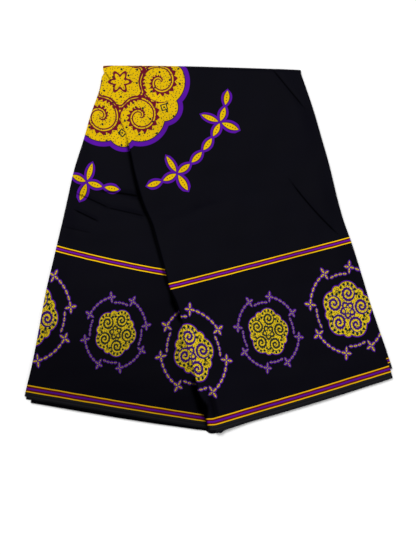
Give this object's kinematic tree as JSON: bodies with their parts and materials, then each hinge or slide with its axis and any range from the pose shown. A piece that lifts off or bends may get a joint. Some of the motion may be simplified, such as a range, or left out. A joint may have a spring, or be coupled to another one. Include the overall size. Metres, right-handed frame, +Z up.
{
  "type": "folded wax print fabric",
  "caption": "Long cut of printed cotton folded into wide panels and fanned out flat into two leaves, with a soft pleat between them and the selvedges at the foot.",
  "frame": {"origin": "on the surface that the stack lies on, under the middle of its outline", "axes": "+Z up out of the stack, +Y from the selvedges towards the fold at the top, +X to the right seen from above"},
  "size_m": [0.5655, 0.5656, 0.0182],
  "materials": {
    "printed_cotton": "crisp waxed cotton with a low sheen, black ground with yellow and purple print",
    "printed_cotton_back": "the same cotton, which is printed nearly as dark on its other face",
    "layer_edges": "folded edges of the same black cotton, one over the other",
    "selvedge": "plain woven selvedge, a little greyer than the printed ground"
  },
  "bodies": {
    "root": {"front_left_leaf": "printed_cotton", "front_right_leaf": "printed_cotton", "top_fold": "printed_cotton", "back_panel": "printed_cotton_back", "hidden_layers": "layer_edges", "next_layer_left": "selvedge", "next_layer_right": "selvedge"}
  },
  "joints": []
}
